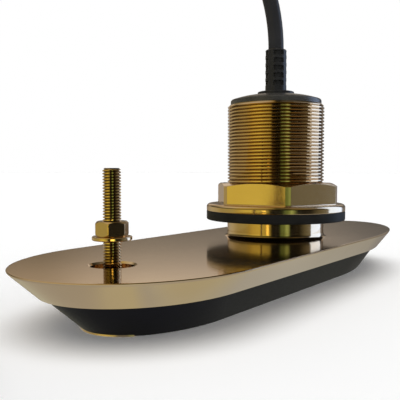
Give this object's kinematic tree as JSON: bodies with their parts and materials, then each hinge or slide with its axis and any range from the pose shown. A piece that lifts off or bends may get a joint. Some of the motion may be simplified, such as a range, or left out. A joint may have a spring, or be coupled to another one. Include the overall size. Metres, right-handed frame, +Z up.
{
  "type": "sonar transducer",
  "caption": "Low-profile hull sonar transducer: bronze deck plate and threaded stem on a black acoustic body, with hull nut, gasket, anti-rotation stud and a coiled cable.",
  "frame": {"origin": "on the flat underside, below the middle of the deck plate", "axes": "+X from the blunt nose to the long tail, +Z up along the stem"},
  "size_m": [0.583, 0.1264, 0.249],
  "materials": {
    "bronze": "satin, fine polish",
    "black_urethane": "smooth satin",
    "black_rubber": "matte",
    "black_plastic": "fine satin",
    "cable_jacket": "satin jacket",
    "steel": "fine brushed",
    "piezo": "matte",
    "cork": "granular",
    "resin": "cast",
    "board": "laminate",
    "contact": "bright"
  },
  "bodies": {
    "root": {"housing": "bronze", "acoustic_body": "black_urethane", "nose_shoe": "bronze", "hull_nut": "bronze", "hull_gasket": "black_rubber", "rotation_stud": "bronze", "stud_washer": "bronze", "stud_nut": "bronze", "stem_cap": "black_plastic", "cap_seal": "black_rubber", "strain_relief": "black_plastic", "inner_cable": "cable_jacket", "cable": "cable_jacket", "cable_coil": "cable_jacket", "cable_tail": "cable_jacket", "plug_boot": "black_rubber", "plug_shell": "black_plastic", "plug_collar": "black_plastic", "plug_insert": "black_plastic", "plug_pins": "contact", "backing_sheet": "cork", "resin_fill": "resin", "lead_bundle": "cable_jacket", "terminal_board": "board", "temperature_probe": "steel", "element_low_1": "piezo", "element_low_2": "piezo", "element_low_3": "piezo", "element_low_4": "piezo", "element_high_1": "piezo", "element_high_2": "piezo"}
  },
  "joints": []
}
